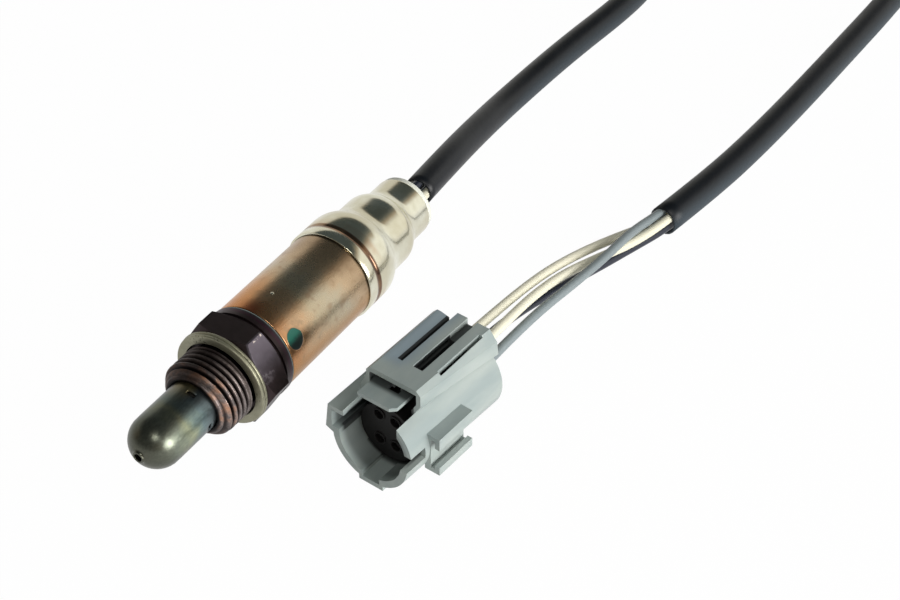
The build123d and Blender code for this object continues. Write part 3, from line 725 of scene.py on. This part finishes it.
def gasketRing():
    inner, outer, edge, seam = gasket["inner"], gasket["outer"], gasket["edge"], gasket["seam"]
    front, fold, rear = -gasket["thick"], -gasket["fold"], gasket["rear"]
    less = outer - gasket["firstBack"]
    first = rounded([(fold, inner), (front, inner), (front, less), (fold, less), (fold, seam)],
                    [0.2, edge * 1.6, edge], 7)
    second = rounded([(fold, seam), (fold + 0.05, outer), (rear, outer), (rear, inner), (fold, inner)],
                     [edge, edge, 0.1], 7)
    return smooth(turned("gasketRing", first + second[1:-1], 180, closed=True), 50)


settle(gasketRing(), "gasket_steel", finishes["gasket"], "sealing_gasket")

# sleeve, with its front edge rolled in against the collar and a small weld pip
sleeve = dict(radius=10.85, wall=0.5, front=9.9, middle=30, rear=44.0, edge=0.35)


def sleeveTube():
    inner, outer = sleeve["radius"] - sleeve["wall"], sleeve["radius"]
    front, middle, rear = sleeve["front"], sleeve["middle"], sleeve["rear"]
    outline = rounded(
        [(middle, inner), (front, inner), (front, outer), (middle, outer)], [0.12, sleeve["edge"]], 5
    )
    outline += [(rear, outer), (rear, inner)]
    return smooth(turned("sleeveTube", outline, 200, closed=True), 50)


settle(sleeveTube(), "sleeve_steel", finishes["sleeve"], "protective_sleeve")
pip = dict(place=17.0, angle=86, radius=0.42, height=0.16, sunk=0.02, rings=6, sides=24)


def weldPip():
    sides = pip["sides"]
    vertices, faces = [(0, 0, pip["height"])], []
    for j in range(1, pip["rings"] + 1):
        share = j / pip["rings"]
        for i in range(sides):
            turn = 2 * pi * i / sides
            vertices.append((
                pip["radius"] * share * cos(turn), pip["radius"] * share * sin(turn),
                pip["height"] * (1 - share * share) ** 0.7 - 0.04 * share,
            ))
    for i in range(sides):
        faces.append((0, 1 + i, 1 + (i + 1) % sides))
        for j in range(pip["rings"] - 1):
            a, b = 1 + j * sides + i, 1 + j * sides + (i + 1) % sides
            faces.append((a, a + sides, b + sides, b))
    thing = addMesh("weldPip", [tuple(v * mm for v in vertex) for vertex in vertices], faces)
    turn = radians(pip["angle"])
    out = Vector((cos(turn), 0, sin(turn)))
    seat = Matrix((Vector((0, 1, 0)).cross(out), (0, 1, 0), out)).transposed().to_4x4()
    seat.translation = out * (sleeve["radius"] - pip["sunk"]) * mm + Vector((0, pip["place"] * mm, 0))
    thing.data.transform(seat)
    return smooth(thing)


settle(weldPip(), "cap_steel", finishes["cap"])
print("sleeve made")

# rear cap: ring over the sleeve, two drawn shoulders and a turned-in mouth
cap = dict(
    front=38.3, ringEnd=47.6, ring=11.35, middleStart=51.2, middleEnd=58.6, middle=9.3,
    smallStart=61.3, end=68.0, small=7.45, mouth=6.55, wall=0.45, rounding=[2.2, 1.7, 1.9, 1.6, 1.2],
    groove=41.5, grooveDeep=0.13, grooveHalf=0.42,
)


def capShell():
    outer = rounded(
        [(cap["front"], cap["ring"]), (cap["ringEnd"], cap["ring"]), (cap["middleStart"], cap["middle"]),
         (cap["middleEnd"], cap["middle"]), (cap["smallStart"], cap["small"]), (cap["end"], cap["small"]),
         (cap["end"], cap["mouth"])],
        cap["rounding"], 9,
    )
    grooved = []
    for before, after in zip(outer, outer[1:]):
        grooved.append(before)
        if before[0] < cap["groove"] < after[0]:
            for offset in (-0.45, -0.28, -0.12, 0, 0.12, 0.28, 0.45):
                sink = cap["grooveDeep"] * max(0, 1 - (offset / cap["grooveHalf"]) ** 2)
                grooved.append((cap["groove"] + offset, cap["ring"] - sink))
    grooved.append(outer[-1])
    edge = [(cap["front"] + rise, cap["ring"] - fall) for rise, fall in ((0, 0.22), (0.05, 0.1), (0.17, 0))]
    wall = cap["wall"]
    inner = [(place - (wall if radius < 6.6 else 0), radius - wall) for place, radius in reversed(outer)]
    inner[0] = (cap["end"] - wall, cap["mouth"])
    outline = edge + grooved[1:] + inner
    return smooth(turned("capShell", outline, 200, closed=True), 50)


settle(capShell(), "cap_steel", finishes["cap"], "rear_cap")
settle(dressed("grommetBody", "grommet", 0.22), "white_rubber", finishes["whiteRubber"], "grommet")
lip = dict(front=67.9, seam=68.2, rear=69.35, outer=7.2, inner=5.15, rounding=0.45)


def grommetLip():
    front, seam, rear, inner, outer = (lip[key] for key in ("front", "seam", "rear", "inner", "outer"))
    outline = rounded(
        [(seam, inner), (front, inner), (front, outer), (rear, outer), (rear, inner), (seam, inner)],
        [0.1, 0.15, lip["rounding"], lip["rounding"]], 6,
    )
    return smooth(turned("grommetLip", outline[:-1], 160, closed=True), 50)


settle(grommetLip(), "white_rubber", finishes["whiteRubber"])
print("cap made")

# plug, with its left slot, its window and the slit at the right cut deeper
# each cut is two corners of a box in the plug's frame
cuts = [
    ((-2.9, 10.6, 7.35), (-1.55, 25.15, 11.4)),
    ((1.0, 10.6, 7.35), (3.7, 25.1, 11.4)),
    ((6.0, 14.6, 10.6), (6.95, 28.6, 14.5)),
]


def cutBox(thing, low, high):
    # takes a box, given in the plug's frame, out of a piece of the plug
    spans = list(zip(low, high))
    corners = [inPlug(x, y, z) for x in spans[0] for y in spans[1] for z in spans[2]]
    faces = [(0, 1, 3, 2), (4, 6, 7, 5), (0, 4, 5, 1), (2, 3, 7, 6), (0, 2, 6, 4), (1, 5, 7, 3)]
    cutter = addMesh("cutter", corners, faces)
    cut = thing.modifiers.new("cut", "BOOLEAN")
    cut.operation, cut.solver, cut.object = "DIFFERENCE", "EXACT", cutter
    bpy.context.view_layer.objects.active = thing
    bpy.ops.object.modifier_move_to_index(modifier="cut", index=0)
    bpy.ops.object.modifier_apply(modifier="cut")
    bpy.data.objects.remove(cutter)


plugHousing = dressed("plugHousing", "connector_housing", 0.22)
for low, high in cuts:
    cutBox(plugHousing, low, high)
settle(plugHousing, "housing_grey", finishes["housing"], "connector_housing")
plugInsert = dressed("plugInsert", "connector_insert", 0.12)
settle(plugInsert, "insert_black", finishes["insert"], "connector_insert")
rim = dict(front=5.62, rear=6.0, inner=1.14, outer=1.52, edge=0.08, sides=40)


def socketRims():
    vertices, faces = [], []
    front, rear, inner, outer, edge = (rim[key] for key in ("front", "rear", "inner", "outer", "edge"))
    profile = [
        (inner, rear), (inner, front + edge), (inner + edge, front),
        (outer - edge, front), (outer, front + edge), (outer, rear),
    ]
    for wire in wires.values():
        across, height = wire["end"]
        base = len(vertices)
        for i in range(rim["sides"]):
            turn = 2 * pi * i / rim["sides"]
            for far, place in profile:
                vertices.append(inPlug(across + far * cos(turn), place, height + far * sin(turn)))
        for i in range(rim["sides"]):
            for j in range(len(profile) - 1):
                a, b = base + i * len(profile) + j, base + (i + 1) % rim["sides"] * len(profile) + j
                faces.append((a, a + 1, b + 1, b))
    return smooth(addMesh("socketRims", vertices, faces), 40)


settle(socketRims(), "insert_black", finishes["insert"])
print("plug made")

# CAD solids that stay as they are
kept = {
    "inner_protection_tube": "innerSteel", "zirconia_element": "ceramic", "seat_washer": "innerSteel",
    "powder_seal": "powder", "support_bush": "ceramic", "disc_spring": "innerSteel", "heater_rod": "ceramic",
    "inner_contact": "contact", "outer_contact": "contact", "contact_holder": "ceramic",
    "interface_seal": "seal", "wire_seal": "seal",
}
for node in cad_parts:
    if node.startswith(("crimp_", "socket_")):
        kept[node] = "contact"
for node, finish in kept.items():
    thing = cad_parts[node]
    thing.data.materials.clear()
    thing.data.materials.append(finishes[finish].material)

# floor
floor = dict(half=1.5, height=-0.0114)
turns = ((-1, -1), (1, -1), (1, 1), (-1, 1))
corners = [(floor["half"] * across, floor["half"] * along, floor["height"]) for across, along in turns]
ground = addMesh("ground", corners, [(0, 1, 2, 3)])
paper = Finish("paper")
path = paper.add("ShaderNodeLightPath")
rays = path.socket.node.outputs
seen = (Tap(paper, rays["Is Camera Ray"]) * 0.985 + Tap(paper, rays["Is Glossy Ray"]) * 0.8
        + Tap(paper, rays["Is Transmission Ray"]) * 0.8).clamp()
matt = paper.add("ShaderNodeBsdfDiffuse", None, {"Color": (0.86, 0.86, 0.85, 1)})
white = paper.add("ShaderNodeEmission", None, {"Color": (1, 1, 1, 1), "Strength": 1.0})
paper.addOutput(paper.add("ShaderNodeMixShader", None, {0: seen, 1: matt, 2: white}))
ground.data.materials.append(paper.material)

# studio light: white behind and at the right, dark above
studio = bpy.data.worlds.new("studio")
bpy.context.scene.world = studio
studio.use_nodes = True
sky = Tree(studio.node_tree)
x, y, z = sky.split(sky.add("ShaderNodeTexCoord", output="Generated"))
panel = x.step(0.12, 0.70) * z.step(0.86, 0.52) * (y.step(-0.50, 0.25) * 0.85 + 0.15)
backdrop = z.step(0.53, 0.46) * (y.step(-0.75, -0.05) * 0.62 + 0.12)
glow = (panel + backdrop).math("MINIMUM", 1.0)
tint = sky.ramp(glow, (0.0, (0.80, 0.97, 1.0)), (0.30, (1.0, 0.80, 0.58)), (0.75, (1.0, 0.99, 0.94)))
glow = glow * 0.98 + 0.075
lightPath = sky.add("ShaderNodeLightPath")
cameraRay = Tap(sky, lightPath.socket.node.outputs["Is Camera Ray"])
strength = glow * (1 - cameraRay) + cameraRay
background = sky.add("ShaderNodeBackground", None, {
    "Color": sky.blend(tint, (1, 1, 1), cameraRay), "Strength": strength,
})
output = sky.nodes.new("ShaderNodeOutputWorld")
sky.links.new(background.socket, output.inputs["Surface"])
lamps = {
    "side": dict(place=(0.62, -0.03, 0.11), aim=(0.02, 0, 0), size=0.42, power=4.3, tint=(1, 0.985, 0.96)),
    "front": dict(place=(0.22, -0.34, 0.50), aim=(0.01, 0, 0), size=0.09, power=0.9, tint=(1, 0.97, 0.90)),
}
for name, lamp in lamps.items():
    light = bpy.data.lights.new(name, "AREA")
    light.shape, light.size, light.energy, light.color = "DISK", lamp["size"], lamp["power"], lamp["tint"]
    lightObject = bpy.data.objects.new(name, light)
    lightObject.location = lamp["place"]
    aim = Vector(lamp["aim"]) - Vector(lamp["place"])
    lightObject.rotation_euler = aim.to_track_quat("-Z", "Y").to_euler()
    bpy.context.collection.objects.link(lightObject)
bpy.context.scene.view_settings.view_transform = "Standard"
print("stage set")
